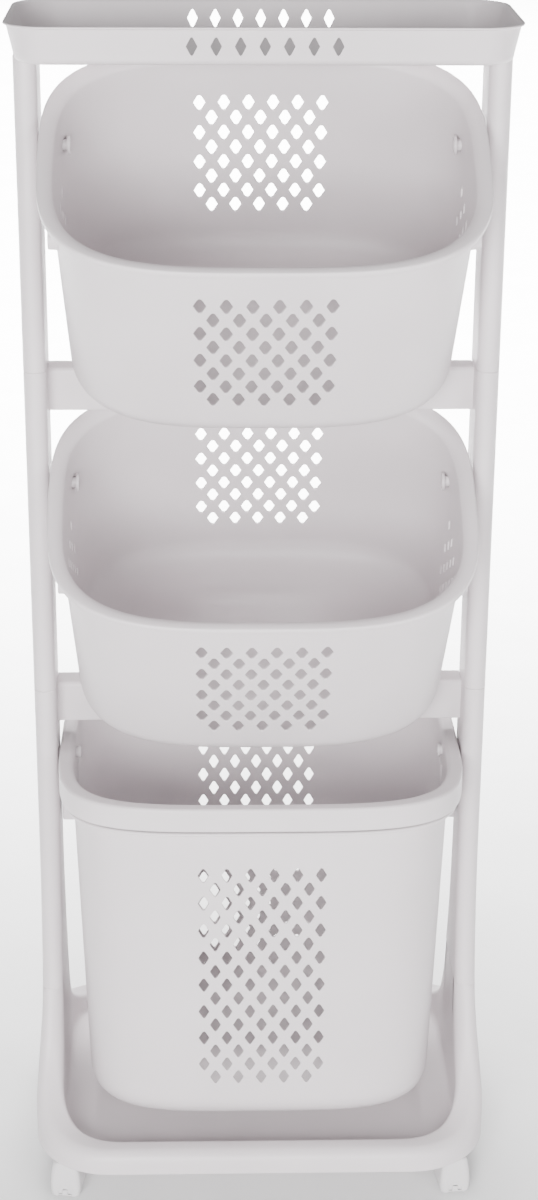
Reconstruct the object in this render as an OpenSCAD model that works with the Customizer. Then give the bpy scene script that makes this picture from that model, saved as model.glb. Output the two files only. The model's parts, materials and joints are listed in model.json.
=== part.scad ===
// Laundry sorter on wheels: two side posts plugged together from segments carry
// a top tray, two forward-tilted baskets and a hanging tub over a castered base.
// +X is to the right, +Y to the rear, +Z up, with the floor at Z = 0.

/* [Frame] */
// Width over the two posts
frame_w = 430; // [424:1:436]
// Height from one post joint to the next
tier_h = 313.4; // [310:0.1:318]
// Height of the lowest post joint above the floor
first_joint_z = 182.6; // [178:0.1:188]
// Thickness of a post, side to side
post_t = 20.5; // [19:0.5:22]
// Depth of a post, front to back
post_d = 62; // [56:1:66]
// Height of the underside of the top tray
tray_z = 1090; // [1086:1:1096]
// Distance of the posts behind the middle of the footprint
post_y = 17.5; // [10:0.5:25]

/* [Crossbars] */
// Height of a crossbar
bar_h = 40; // [36:1:42]
// Front face of a crossbar, measured from the middle of the posts
bar_front = 0; // [-1:0.5:2]
// Depth of a crossbar, front to back
bar_d = 28; // [25:1:30]
// Distance of a crossbar's top below the post joint
bar_drop = 4; // [2:0.5:6]

/* [Top tray] */
// Width over the tray rim
tray_w = 440; // [436:1:446]
// Depth over the tray rim
tray_d = 175; // [165:1:185]
// Height of the tray
tray_h = 33; // [30:1:38]

/* [Tilting baskets] */
// Forward tilt of the baskets at rest, in degrees
tilt = 29; // [28:0.5:30]
// Width over the rim flange
basket_w = 386; // [384:0.5:387]
// Length over the rim flange, front to back
basket_l = 292; // [284:1:296]
// Height of the rim above the pivot
basket_rim_up = 40; // [36:1:42]
// Distance of the basket's middle in front of the pivot
basket_lead = 61; // [56:1:64]

/* [Hanging tub] */
// Width over the skirt
tub_w = 385; // [382:0.5:386]
// Length over the skirt, front to back
tub_l = 304; // [296:1:310]
// Height of the rim of the tub above the floor
tub_rim_z = 432; // [428:1:436]
// Height of the underside of the tub above the floor
tub_bottom_z = 77; // [76:1:84]
// Depth of the turned-down skirt under the rim
skirt_h = 23; // [20:1:26]

/* [Base] */
// Width of the base
base_w = 442; // [440:1:446]
// Depth of the base
base_d = 330; // [320:1:336]
// Height of the underside of the base
base_z = 43; // [42:1:45]
// Height of the top of the base rim
base_rim_z = 67; // [66:1:70]

/* [Casters] */
// Diameter of a wheel
wheel_d = 34; // [32:1:36]
// Width of a wheel
wheel_w = 12; // [10:0.5:13]
// Distance of the axle behind the swivel axis
trail = 4; // [2:0.5:6]
// Distance of each swivel axis from the middle, across
caster_x = 189; // [187:0.5:190]
// Distance of each swivel axis from the middle, front to back
caster_y = 121; // [119:0.5:122]

/* [Hidden] */

plastic = [0.85, 0.83, 0.84];
steel = [0.72, 0.73, 0.75];
tread = [0.80, 0.79, 0.80];
left = -1;
right = 1;
eps = 0.02;

// Heights of the three post joints, and of the crossbars under two of them
joint_z = [for (k = [0:2]) first_joint_z + k * tier_h];

// Posts: hollow, closed in section, each with a spigot at its top end
wall = 2.6;
post_x = (frame_w - post_t) / 2;
post_face = frame_w / 2 - post_t;
spigot_h = 22;
tray_spigot_h = 13;
spigot_gap = 0.3;
lead_in = 2;
bar_corner_r = 4;
tongue_inset = 10;
window_inset = tongue_inset - 0.6;

// Side view of the frame: the posts spread in a quarter ellipse into the base rim
spread_top = 330;
spread_foot = 72;
spread_reach = 150;
fin_foot_z = 60;
fin_levels = [base_rim_z + 4, 76, 82, 90, 102, 118, 138, 160, first_joint_z];
post_levels = [first_joint_z, 205, 230, 260, 290, 315, spread_top];

// Pivots, measured as heights above the floor
upper_pivot_z = 1009;
middle_pivot_z = upper_pivot_z - tier_h;
tub_pivot_z = 418.5;
pivot_r = 5;
pivot_play = 0.08;
boss_r = 11.5;
peg_head_r = 8.5;
peg_head_t = 3;
peg_hollow_r = 3;
peg_hollow_l = 11;
basket_peg_x = 168;
tub_peg_x = 173;
peg_end_x = 208;
boss_in_x = 176.5;

// Baskets
skin = 2.2;
stop_gap = 0.35;
basket_n = 3.4;
basket_flange = 11.5;
basket_lip = 5.5;
basket_draft = 8;
bar_below = upper_pivot_z - joint_z[2] + bar_drop;
bar_round = bar_corner_r * (sin(tilt) + cos(tilt) - 1);
basket_bottom = stop_gap - cos(tilt) * bar_below - sin(tilt) * bar_front - bar_round;
hanger_in_x = 176.2;
hanger_h = 60;
hanger_l = 26;
hanger_side_gap = 0.4;
rim_notch = [5, 8, 6];
rim_notch_in = 6.5;
tub_n = 4.2;
tub_draft = 11;
bottom_r_side = 36;
bottom_r_front = 26;
ring_points = 48;
fillet_steps = [15, 35, 55, 75, 90];
vent_pitch = 22.2;
vent_rise = 16.6;

// Base
base_corner_r = 75;
rim_side = base_w / 2 - post_face;
rim_front = 24;
pan_corner_r = 60;
pan_floor_z = 52;
under_skin = 3;
socket_r = 8.5;
socket_top_z = base_rim_z - 3;

// Casters
stem_r = 4;
stem_play = 0.08;
axle_r = 2;
axle_play = 0.08;
wheel_r = wheel_d / 2;
housing_w = 29;
housing_d = 38;
housing_top = base_z - 2;
housing_foot = 3;
axle_l = housing_w - 4.4;
axle_end_gap = 0.2;
stem_foot = housing_top - 5;
stem_top = socket_top_z - 4;
fork_slot = wheel_w + 3;
caster_turn = [172, 187, 38, -52];
caster_at = [[-caster_x, -caster_y], [caster_x, -caster_y],
    [-caster_x, caster_y], [caster_x, caster_y]];

// ---- outlines and lofts -------------------------------------------------------------

function side_of(v) = v < 0 ? -1 : 1;

// One level ring of a squared oval: half width a, half depth b, squareness n
function oval_ring(a, b, n, z) = [for (i = [0:ring_points - 1])
    let (t = 360 * i / ring_points)
    [a * side_of(cos(t)) * pow(abs(cos(t)), 2 / n), b * side_of(sin(t)) * pow(abs(sin(t)), 2 / n), z]];

// One level ring of a rectangle with round corners
function box_ring(a, b, r, z, steps = 7) = [for (q = [0:3], s = [0:steps])
    let (t = 90 * q + 90 * s / steps, sx = q == 0 || q == 3 ? 1 : -1, sy = q < 2 ? 1 : -1)
    [sx * (a - r) + r * cos(t), sy * (b - r) + r * sin(t), z]];

function flip(rings) = [for (i = [len(rings) - 1:-1:0]) rings[i]];

// Skins a stack of rings with equal numbers of points; the stack may close on itself
module loft(rings, closed = false) {
    n = len(rings[0]);
    m = len(rings);
    last = closed ? m - 1 : m - 2;
    sides = [for (k = [0:last], i = [0:n - 1])
        let (j = (i + 1) % n, up = (k + 1) % m) [k * n + i, up * n + i, up * n + j, k * n + j]];
    ends = closed ? [] : [[for (i = [0:n - 1]) i], [for (i = [n - 1:-1:0]) (m - 1) * n + i]];
    polyhedron([for (r = rings) each r], concat(sides, ends), convexity = 8);
}

// A flat bar outline with round ends
module slot2d(d, t) {
    square([t, d - t], center = true);
    for (s = [-1, 1]) translate([0, s * (d - t) / 2]) circle(d = t, $fn = 48);
}

// A rectangle outline with round corners
module round_box2d(w, d, r) {
    square([w - 2 * r, d], center = true);
    square([w, d - 2 * r], center = true);
    for (sx = [-1, 1], sy = [-1, 1])
        translate([sx * (w / 2 - r), sy * (d / 2 - r)]) circle(r = r, $fn = 64);
}

module diamond2d(w, h) { polygon([[-w / 2, 0], [0, -h / 2], [w / 2, 0], [0, h / 2]]); }

// Rows of diamonds, alternately n and n - 1 across; row 0 is the highest
module diamonds2d(n, rows, pitch, rise, w, h) {
    for (row = [0:rows - 1]) {
        count = n - row % 2;
        for (i = [0:count - 1])
            translate([(i - (count - 1) / 2) * pitch, -row * rise]) diamond2d(w, h);
    }
}

// A block of diamonds pushed along Y through one wall, between two depths
module diamond_cut(n, rows, pitch, rise, w, h, y0, y1, z) {
    translate([0, y1, z]) rotate([90, 0, 0])
        linear_extrude(y1 - y0) diamonds2d(n, rows, pitch, rise, w, h);
}

// ---- posts --------------------------------------------------------------------------

// Half depth of the frame's side at a height, and how fast it changes there
function spread_k(z) = min(1, max(0, (spread_top - z) / (spread_top - spread_foot)));
function half_depth(z) = spread_reach - (spread_reach - post_d / 2) * sqrt(1 - pow(spread_k(z), 2));
function spread_slope(z) = (half_depth(z - 0.5) - half_depth(z + 0.5));

// The side thickens outwards from the lowest joint down to the rim
function flare(z) =
    let (k = min(1, max(0, (first_joint_z - z) / (first_joint_z - base_rim_z)))) k * k * (3 - 2 * k);
function side_t(z) = post_t + (rim_side - post_t) * flare(z);

// How far the middle of the rim bends inwards round the base's corners
function rim_bend(y) =
    let (r = base_corner_r - rim_side / 2, past = max(0, abs(y) - (base_d / 2 - base_corner_r)))
    r - sqrt(max(0, r * r - past * past));

// Level ring through a post or fin on the right, shrunk by inset; its ends are
// round when seen square to the sloping edge
function post_ring(z, inset = 0, points = 16) =
    let (h = half_depth(z) - inset, t = side_t(z) / 2 - inset, x0 = post_face + side_t(z) / 2,
        e = min(h, max(t, post_t / 2 * spread_slope(z))))
    [for (s = [1, -1], i = [0:points - 1])
        let (y = -s * h * cos(180 * i / points), over = max(0, (abs(y) - (h - e)) / e))
        [x0 - rim_bend(y) + s * t * sqrt(max(0, 1 - over * over)), y, z]];

// What is modelled on the right is mirrored for the left
module on_side(side) {
    if (side == right) children();
    else mirror([1, 0, 0]) children();
}

// Hollow spigot that plugs into the segment above, on a ledge inside its own segment
module spigot(d, z, h) {
    ledge = 4;
    translate([post_x, 0, z - ledge]) linear_extrude(ledge) difference() {
        slot2d(d - wall, post_t - wall);
        slot2d(d - 4 * wall, post_t - 4 * wall);
    }
    translate([post_x, 0, z - eps]) linear_extrude(h - lead_in + eps) difference() {
        slot2d(d - 2 * (wall + spigot_gap), post_t - 2 * (wall + spigot_gap));
        slot2d(d - 4 * wall, post_t - 4 * wall);
    }
}

// Straight hollow segment with its spigot
module straight_segment(z0, z1, h = spigot_h) {
    translate([post_x, 0, z0]) linear_extrude(z1 - z0) difference() {
        slot2d(post_d, post_t);
        slot2d(post_d - 2 * wall, post_t - 2 * wall);
    }
    spigot(post_d, z1, h);
}

// Window in a post's inner wall for a crossbar's tongue
module tongue_window(z_top) {
    translate([post_face + wall / 2, bar_front + bar_d / 2, z_top - bar_h / 2])
        cube([wall + 2, bar_d - window_inset, bar_h - window_inset], center = true);
}

// Bore in a post's inner wall for a pivot peg
module peg_bore(z) {
    translate([post_face - 1, 0, z]) rotate([0, 90, 0]) cylinder(r = pivot_r, h = wall + 2, $fn = 64);
}

module upper_post(side) {
    color(plastic) on_side(side) difference() {
        straight_segment(joint_z[2], tray_z, tray_spigot_h);
        peg_bore(upper_pivot_z);
    }
}

module middle_post(side) {
    color(plastic) on_side(side) difference() {
        straight_segment(joint_z[1], joint_z[2]);
        peg_bore(middle_pivot_z);
        tongue_window(joint_z[2] - bar_drop);
    }
}

module lower_post(side) {
    outer = [for (z = post_levels) post_ring(z)];
    inner = [for (z = post_levels) post_ring(z, wall)];
    color(plastic) on_side(side) difference() {
        union() {
            loft(concat(outer, flip(inner)), closed = true);
            straight_segment(spread_top, joint_z[1]);
        }
        peg_bore(tub_pivot_z);
        tongue_window(joint_z[1] - bar_drop);
    }
}

// ---- crossbars and tray ---------------------------------------------------------------

// Channel open underneath, with cross ribs and a tongue at each end
module crossbar(z_top) {
    tongue_l = 12;
    color(plastic) translate([0, bar_front + bar_d / 2, z_top - bar_h / 2]) {
        difference() {
            translate([-post_face, 0, 0]) rotate([90, 0, 90])
                linear_extrude(2 * post_face) round_box2d(bar_d, bar_h, bar_corner_r);
            translate([0, 0, -wall])
                cube([2 * (post_face - wall), bar_d - 2 * wall, bar_h], center = true);
        }
        for (x = [-130:65:130])
            translate([x, 0, -1]) cube([2, bar_d - 2 * wall + 1, bar_h - 6], center = true);
        for (s = [-1, 1]) translate([s * (post_face + tongue_l / 2), 0, 0])
            cube([tongue_l + eps, bar_d - tongue_inset, bar_h - tongue_inset], center = true);
    }
}

module lower_crossbar() { crossbar(joint_z[1] - bar_drop); }
module upper_crossbar() { crossbar(joint_z[2] - bar_drop); }

module top_tray() {
    a = tray_w / 2;
    b = tray_d / 2;
    r = 38;
    taper = 5;
    lip = 3;
    outer = [box_ring(a - taper - lip - 5, b - taper - lip - 5, r - 10, tray_z),
        box_ring(a - taper - lip - 1.5, b - taper - lip - 1.5, r - 7, tray_z + 1.5),
        box_ring(a - taper - lip + 0.5, b - taper - lip + 0.5, r - 6, tray_z + 5),
        box_ring(a - lip, b - lip, r - 2, tray_z + tray_h - 4),
        box_ring(a, b, r, tray_z + tray_h - 1.5),
        box_ring(a, b, r, tray_z + tray_h)];
    inner = [box_ring(a - lip - skin + 1, b - lip - skin + 1, r - 4, tray_z + tray_h),
        box_ring(a - lip - skin, b - lip - skin, r - 5, tray_z + tray_h - 2),
        box_ring(a - lip - taper - skin, b - lip - taper - skin, r - 9, tray_z + 7),
        box_ring(a - lip - taper - skin - 4, b - lip - taper - skin - 4, r - 12, tray_z + skin)];
    pocket_t = post_t - 2 * wall - 2 * spigot_gap + 0.4;
    pocket_d = post_d - 2 * wall - 2 * spigot_gap + 0.4;
    color(plastic) difference() {
        union() {
            loft(concat(outer, inner));
            for (s = [left, right]) translate([s * post_x, 0, tray_z + 1])
                linear_extrude(tray_spigot_h + 1) slot2d(pocket_d + 4, pocket_t + 4);
        }
        for (s = [left, right]) translate([s * post_x, 0, tray_z - 1])
            linear_extrude(tray_spigot_h + 0.8) slot2d(pocket_d, pocket_t);
        for (y = [-b - 1, b - 16]) diamond_cut(7, 1, 20.4, 1, 9.2, 15.4, y, y + 17, tray_z + 16.6);
    }
}

// ---- baskets --------------------------------------------------------------------------

// Outside of a rounded bottom, up to full width a and depth b, from height z
function bottom_rings(a, b, n, z, ra, rb) = concat(
    [oval_ring(a - ra, b - rb, n, z)],
    [for (t = fillet_steps) let (u = 1 - sin(t))
        oval_ring(a - ra * u, b - rb * u, n, z + rb * (1 - cos(t)))]);

// Round pad on a side wall with the bore that turns on a pivot peg
module pivot_pads(out_x, y = 0, z = 0) {
    for (s = [left, right]) translate([s * boss_in_x, y, z]) rotate([0, s * 90, 0])
        cylinder(r = boss_r, h = out_x - boss_in_x, $fn = 64);
}

module pivot_bores(y = 0, z = 0) {
    translate([-frame_w / 2, y, z]) rotate([0, 90, 0])
        cylinder(r = pivot_r + pivot_play, h = frame_w, $fn = 64);
}

// A tilting basket about its pivot, untilted; the spare bores let it be hung either way round
module basket_body() {
    a = basket_w / 2;
    b = basket_l / 2;
    top = basket_rim_up;
    aw = a - basket_flange;
    bw = b - basket_flange;
    ab = aw - basket_draft;
    bb = bw - basket_draft;
    shell = concat(
        bottom_rings(ab, bb, basket_n, basket_bottom, bottom_r_side, bottom_r_front),
        [oval_ring(aw, bw, basket_n, top - 3),
            oval_ring(a - skin, b - skin, basket_n, top - 2.6),
            oval_ring(a - skin, b - skin, basket_n, top - basket_lip),
            oval_ring(a, b, basket_n, top - basket_lip),
            oval_ring(a, b, basket_n, top - 1.5),
            oval_ring(a - 1.5, b - 1.5, basket_n, top),
            oval_ring(aw - skin + 2, bw - skin + 2, basket_n, top),
            oval_ring(aw - skin, bw - skin, basket_n, top - 2)],
        flip(bottom_rings(ab - skin, bb - skin, basket_n, basket_bottom + skin,
            bottom_r_side - skin, bottom_r_front - skin)));
    difference() {
        union() {
            translate([0, -basket_lead, 0]) loft(shell);
            pivot_pads(a - 4);
            pivot_pads(a - 4, -2 * basket_lead);
        }
        pivot_bores();
        pivot_bores(-2 * basket_lead);
        translate([0, -basket_lead, 0]) {
            for (y = [-b - 1, b - 40])
                diamond_cut(6, 8, vent_pitch, vent_rise, 10, 17, y, y + 41, -10);
            for (s = [90, 270]) rotate([0, 0, s])
                diamond_cut(4, 6, vent_pitch, vent_rise, 8, 13, -a - 1, -a + 40, -30);
        }
    }
}

module tilted_basket(z) {
    color(plastic) translate([0, 0, z]) rotate([tilt, 0, 0]) basket_body();
}

module upper_basket() { tilted_basket(upper_pivot_z); }
module middle_basket() { tilted_basket(middle_pivot_z); }

module hanging_tub() {
    a = tub_w / 2;
    b = tub_l / 2;
    top = tub_rim_z;
    aw = a - 12;
    bw = b - 12;
    ab = aw - tub_draft;
    bb = bw - tub_draft;
    shell = concat(
        bottom_rings(ab, bb, tub_n, tub_bottom_z, bottom_r_side, bottom_r_side),
        [oval_ring(aw, bw, tub_n, top - 3.5),
            oval_ring(a - skin, b - skin, tub_n, top - 3),
            oval_ring(a - skin, b - skin, tub_n, top - skirt_h),
            oval_ring(a, b, tub_n, top - skirt_h),
            oval_ring(a, b, tub_n, top - 2.5),
            oval_ring(a - 2.5, b - 2.5, tub_n, top),
            oval_ring(aw - skin + 2, bw - skin + 2, tub_n, top),
            oval_ring(aw - skin, bw - skin, tub_n, top - 2)],
        flip(bottom_rings(ab - skin, bb - skin, tub_n, tub_bottom_z + skin,
            bottom_r_side - skin, bottom_r_side - skin)));
    hanger_out = a - hanger_side_gap;
    color(plastic) difference() {
        union() {
            loft(shell);
            intersection() {
                pivot_pads(a - 0.3, 0, tub_pivot_z);
                translate([0, 0, top - skirt_h / 2 - 2]) cube([tub_w, 30, skirt_h - 1], center = true);
            }
            for (s = [left, right])
                translate([s * (hanger_in_x + hanger_out) / 2, 0, top - skirt_h - hanger_h / 2 + 1])
                    cube([hanger_out - hanger_in_x, hanger_l, hanger_h], center = true);
        }
        pivot_bores(0, tub_pivot_z);
        for (s = [left, right])
            translate([s * (a - rim_notch_in), 0, top]) cube(rim_notch, center = true);
        for (y = [-b - 1, b - 40]) diamond_cut(6, 16, 22, 15, 9.5, 15, y, y + 41, 356);
    }
}

// Push-in peg with a ring head inside the basket; its shank is held in the post
module pivot_peg(side, z, head_x) {
    color(plastic) on_side(side) translate([head_x, 0, z]) rotate([0, 90, 0]) difference() {
        union() {
            cylinder(r = peg_head_r, h = peg_head_t, $fn = 64);
            cylinder(r = pivot_r, h = peg_end_x - head_x, $fn = 64);
        }
        translate([0, 0, -1]) cylinder(r = peg_hollow_r, h = peg_hollow_l + 1, $fn = 48);
    }
}

// ---- base -----------------------------------------------------------------------------

// Fin that rises from the side rim to the lowest post joint
module fin() {
    loft(concat([[for (p = post_ring(fin_levels[0])) [p.x, p.y, fin_foot_z]]],
        [for (z = fin_levels) post_ring(z)]));
}

module fin_hollow() {
    top = first_joint_z - 5;
    levels = [for (z = fin_levels) min(z, top)];
    loft(concat([[for (p = post_ring(fin_levels[0], wall + 1)) [p.x, p.y, base_z - 1]]],
        [for (z = levels) post_ring(z, wall)]));
}

// The moulding is a skin: hollow under the floor, and deeper under the rim
module underside_hollow() {
    translate([0, 0, base_z - 1]) {
        linear_extrude(pan_floor_z - under_skin - base_z + 1)
            round_box2d(base_w - 2 * under_skin, base_d - 2 * under_skin, base_corner_r - under_skin);
        linear_extrude(base_rim_z - under_skin - base_z + 1) difference() {
            round_box2d(base_w - 2 * under_skin, base_d - 2 * under_skin, base_corner_r - under_skin);
            round_box2d(2 * (post_face + under_skin), base_d - 2 * (rim_front - under_skin),
                pan_corner_r + under_skin);
        }
    }
}

// Sockets for the caster stems, each a boss under the rim with two stiffening webs
module caster_sockets() {
    for (p = caster_at) translate([p.x, p.y, base_z]) difference() {
        union() {
            cylinder(r = socket_r, h = base_rim_z - base_z - 1, $fn = 64);
            rotate([0, 0, atan2(p.y, p.x)]) translate([-8, -1, 0]) cube([16, 2, base_rim_z - base_z - 1]);
        }
        translate([0, 0, -1]) cylinder(r = stem_r + stem_play, h = socket_top_z - base_z - 1, $fn = 64);
    }
}

module base_tray() {
    seat_d = 2 * half_depth(first_joint_z + spigot_h);
    color(plastic) {
        difference() {
            union() {
                translate([0, 0, base_z])
                    linear_extrude(base_rim_z - base_z) round_box2d(base_w, base_d, base_corner_r);
                for (s = [left, right]) on_side(s) fin();
            }
            translate([0, 0, pan_floor_z]) linear_extrude(200)
                round_box2d(2 * post_face, base_d - 2 * rim_front, pan_corner_r);
            for (s = [left, right]) on_side(s) fin_hollow();
            underside_hollow();
        }
        caster_sockets();
        for (s = [left, right]) on_side(s) spigot(seat_d, first_joint_z, spigot_h);
    }
}

// ---- casters --------------------------------------------------------------------------

module at_caster(i) {
    translate([caster_at[i].x, caster_at[i].y, 0]) rotate([0, 0, caster_turn[i]]) children();
}

module caster_stem(i) {
    color(steel) at_caster(i) translate([0, 0, stem_foot])
        cylinder(r = stem_r, h = stem_top - stem_foot, $fn = 64);
}

// Hood over the wheel, barrel-sided, with an arched window at the front and back
module caster_housing(i) {
    levels = [[housing_foot, -3, -2], [housing_foot + 4, 0, 0], [14, 1, 0], [24, 0, 0],
        [34, -2.5, -1.5], [housing_top - 1.5, -4.5, -3], [housing_top, -6.5, -5]];
    arch_r = 6.5;
    arch_z = 10;
    room_r = wheel_r + 1;
    color(plastic) at_caster(i) difference() {
        translate([0, trail, 0])
            loft([for (l = levels) box_ring((housing_w + l[1]) / 2, (housing_d + l[2]) / 2, 5, l[0], 5)]);
        translate([0, trail, 0]) {
            translate([0, 0, wheel_r]) rotate([0, 90, 0])
                cylinder(r = room_r, h = fork_slot, center = true, $fn = 64);
            translate([-fork_slot / 2, -room_r, 0]) cube([fork_slot, 2 * room_r, wheel_r]);
            translate([0, 0, arch_z]) rotate([90, 0, 0])
                cylinder(r = arch_r, h = housing_d + 2, center = true, $fn = 48);
            translate([0, 0, arch_z / 2]) cube([2 * arch_r, housing_d + 2, arch_z], center = true);
            translate([0, 0, wheel_r]) rotate([0, 90, 0])
                cylinder(r = axle_r, h = axle_l + 2 * axle_end_gap, center = true, $fn = 48);
        }
        translate([0, 0, stem_foot]) cylinder(r = stem_r, h = 10, $fn = 64);
    }
}

module caster_axle(i) {
    color(steel) at_caster(i) translate([0, trail, wheel_r]) rotate([0, 90, 0])
        cylinder(r = axle_r, h = axle_l, center = true, $fn = 48);
}

// Wheel with a rounded tread, a recessed web and a hub
module caster_wheel(i) {
    w = wheel_w / 2;
    color(tread) at_caster(i) translate([0, trail, wheel_r]) rotate([0, 90, 0]) difference() {
        rotate_extrude($fn = 96) polygon([[0, -w], [5, -w], [6, -w + 2.5], [11.5, -w + 2.5], [12.5, -w],
            [wheel_r - 1.5, -w], [wheel_r, -w + 1.5], [wheel_r, w - 1.5], [wheel_r - 1.5, w],
            [12.5, w], [11.5, w - 2.5], [6, w - 2.5], [5, w], [0, w]]);
        cylinder(r = axle_r + axle_play, h = wheel_w + 2, center = true, $fn = 48);
    }
}

// ---- the assembly ---------------------------------------------------------------------

// The posts stand a little behind the middle of the footprint
module set_back() { translate([0, post_y, 0]) children(); }

set_back() base_tray();
set_back() lower_post(left);  // lower_post_left
set_back() lower_post(right);  // lower_post_right
set_back() middle_post(left);  // middle_post_left
set_back() middle_post(right);  // middle_post_right
set_back() upper_post(left);  // upper_post_left
set_back() upper_post(right);  // upper_post_right
set_back() lower_crossbar();
set_back() upper_crossbar();
set_back() top_tray();
set_back() upper_basket();
set_back() middle_basket();
set_back() hanging_tub();
set_back() pivot_peg(left, upper_pivot_z, basket_peg_x);  // upper_pivot_peg_left
set_back() pivot_peg(right, upper_pivot_z, basket_peg_x);  // upper_pivot_peg_right
set_back() pivot_peg(left, middle_pivot_z, basket_peg_x);  // middle_pivot_peg_left
set_back() pivot_peg(right, middle_pivot_z, basket_peg_x);  // middle_pivot_peg_right
set_back() pivot_peg(left, tub_pivot_z, tub_peg_x);  // tub_pivot_peg_left
set_back() pivot_peg(right, tub_pivot_z, tub_peg_x);  // tub_pivot_peg_right
set_back() caster_stem(0);  // front_left_caster_stem
set_back() caster_housing(0);  // front_left_caster_housing
set_back() caster_axle(0);  // front_left_caster_axle
set_back() caster_wheel(0);  // front_left_caster_wheel
set_back() caster_stem(1);  // front_right_caster_stem
set_back() caster_housing(1);  // front_right_caster_housing
set_back() caster_axle(1);  // front_right_caster_axle
set_back() caster_wheel(1);  // front_right_caster_wheel
set_back() caster_stem(2);  // rear_left_caster_stem
set_back() caster_housing(2);  // rear_left_caster_housing
set_back() caster_axle(2);  // rear_left_caster_axle
set_back() caster_wheel(2);  // rear_left_caster_wheel
set_back() caster_stem(3);  // rear_right_caster_stem
set_back() caster_housing(3);  // rear_right_caster_housing
set_back() caster_axle(3);  // rear_right_caster_axle
set_back() caster_wheel(3);  // rear_right_caster_wheel
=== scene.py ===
import json
import math

import bmesh
import bpy
import numpy as np
from mathutils import Matrix, Vector
from mathutils.geometry import delaunay_2d_cdt


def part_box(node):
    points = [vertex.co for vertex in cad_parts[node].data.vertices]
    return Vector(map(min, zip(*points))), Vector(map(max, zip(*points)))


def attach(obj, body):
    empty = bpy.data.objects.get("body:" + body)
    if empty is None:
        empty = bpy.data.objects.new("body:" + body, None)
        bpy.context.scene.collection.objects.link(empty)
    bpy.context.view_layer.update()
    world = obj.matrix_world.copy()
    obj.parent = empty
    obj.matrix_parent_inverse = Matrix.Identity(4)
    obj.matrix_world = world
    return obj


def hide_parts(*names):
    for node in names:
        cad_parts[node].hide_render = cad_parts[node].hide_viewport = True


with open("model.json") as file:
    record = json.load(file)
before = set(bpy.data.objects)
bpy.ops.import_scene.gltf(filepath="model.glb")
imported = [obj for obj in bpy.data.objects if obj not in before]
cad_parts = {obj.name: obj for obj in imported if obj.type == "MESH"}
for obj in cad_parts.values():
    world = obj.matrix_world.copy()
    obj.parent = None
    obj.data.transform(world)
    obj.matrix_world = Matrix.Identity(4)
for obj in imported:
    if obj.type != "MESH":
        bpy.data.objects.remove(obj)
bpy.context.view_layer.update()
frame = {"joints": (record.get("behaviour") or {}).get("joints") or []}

# Shapes are worked out in millimetres and written to Blender in metres.
MM = 0.001
joints = {j["name"]: j for j in frame["joints"]}


def span(node):
    """Lowest and highest corner of a CAD node, in millimetres."""
    low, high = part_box(node)
    return np.array(low) / MM, np.array(high) / MM


def pivot(name):
    return np.array(joints[name]["pos_m"]) / MM


# ---- driving dimensions ------------------------------------------------------------------

POST_Y = pivot("upper_basket_tilt")[1]
POST_LOW, POST_HIGH = span("upper_post_right")
POST_T = POST_HIGH[0] - POST_LOW[0]
POST_D = POST_HIGH[1] - POST_LOW[1]
POST_FACE = POST_LOW[0]
BASE_LOW, BASE_HIGH = span("base_tray")
JOINT_Z = [span(f"{part}_post_right")[0][2] for part in ("lower", "middle", "upper")]
TRAY_LOW, TRAY_HIGH = span("top_tray")

WALL_X = (POST_HIGH[0] + POST_FACE) / 2
HALF_T = POST_T / 2
TUB_LOW, TUB_HIGH = span("hanging_tub")

# How far the baskets tip forward at rest, in degrees, and the wall thickness of every shell.
TILT = 29.0
SKIN = 2.2
# Radius of a vent's edge, and the flat ring left round it where the skins are meshed.
EDGE = 0.55
VENT_MARGIN = 0.7
# How far a pivot pad blends into the wall around its bore, outside and inside.
PAD_REACH = 12.4
PAD_INSIDE = 1.6
# Edges sharper than this stay hard.
HARD_ANGLE = math.radians(48)


# ---- mesh building -----------------------------------------------------------------------

class Shape:
    """Collects corners and faces, and turns them into one smooth object."""

    def __init__(self):
        self.points = []
        self.faces = []

    def add(self, points):
        start = len(self.points)
        self.points.extend(tuple(float(c) for c in p) for p in points)
        return list(range(start, len(self.points)))

    def bridge(self, a, b, closed=True):
        n = len(a)
        for i in range(n if closed else n - 1):
            j = (i + 1) % n
            self.faces.append((a[i], a[j], b[j], b[i]))

    def loft(self, rings, cap_first=False, cap_last=False, closed=True):
        made = [self.add(r) for r in rings]
        for a, b in zip(made, made[1:]):
            self.bridge(a, b, closed)
        if cap_first:
            self.faces.append(tuple(reversed(made[0])))
        if cap_last:
            self.faces.append(tuple(made[-1]))
        return made

    def closed(self, rings):
        """A ring-shaped skin whose last ring meets its first."""
        made = self.loft(rings)
        self.bridge(made[-1], made[0])

    def build(self, name, material, matrix=None, cut=None):
        mesh = bpy.data.meshes.new(name)
        mesh.from_pydata(self.points, [], self.faces)
        bm = bmesh.new()
        bm.from_mesh(mesh)
        bmesh.ops.remove_doubles(bm, verts=bm.verts, dist=0.004)
        bmesh.ops.dissolve_degenerate(bm, edges=bm.edges, dist=0.002)
        if cut is not None:
            cut(bm)
        bmesh.ops.recalc_face_normals(bm, faces=bm.faces)
        if matrix is not None:
            bmesh.ops.transform(bm, matrix=matrix, verts=bm.verts)
        bmesh.ops.scale(bm, vec=(MM, MM, MM), verts=bm.verts)
        for edge in bm.edges:
            if len(edge.link_faces) == 2 and edge.calc_face_angle(0) > HARD_ANGLE:
                edge.smooth = False
        bm.to_mesh(mesh)
        bm.free()
        mesh.shade_smooth()
        mesh.materials.append(material)
        obj = bpy.data.objects.new(name, mesh)
        bpy.context.scene.collection.objects.link(obj)
        return obj


def place(obj, body, slot, *nodes):
    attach(obj, body)
    if nodes:
        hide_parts(*nodes)
    return obj


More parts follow.
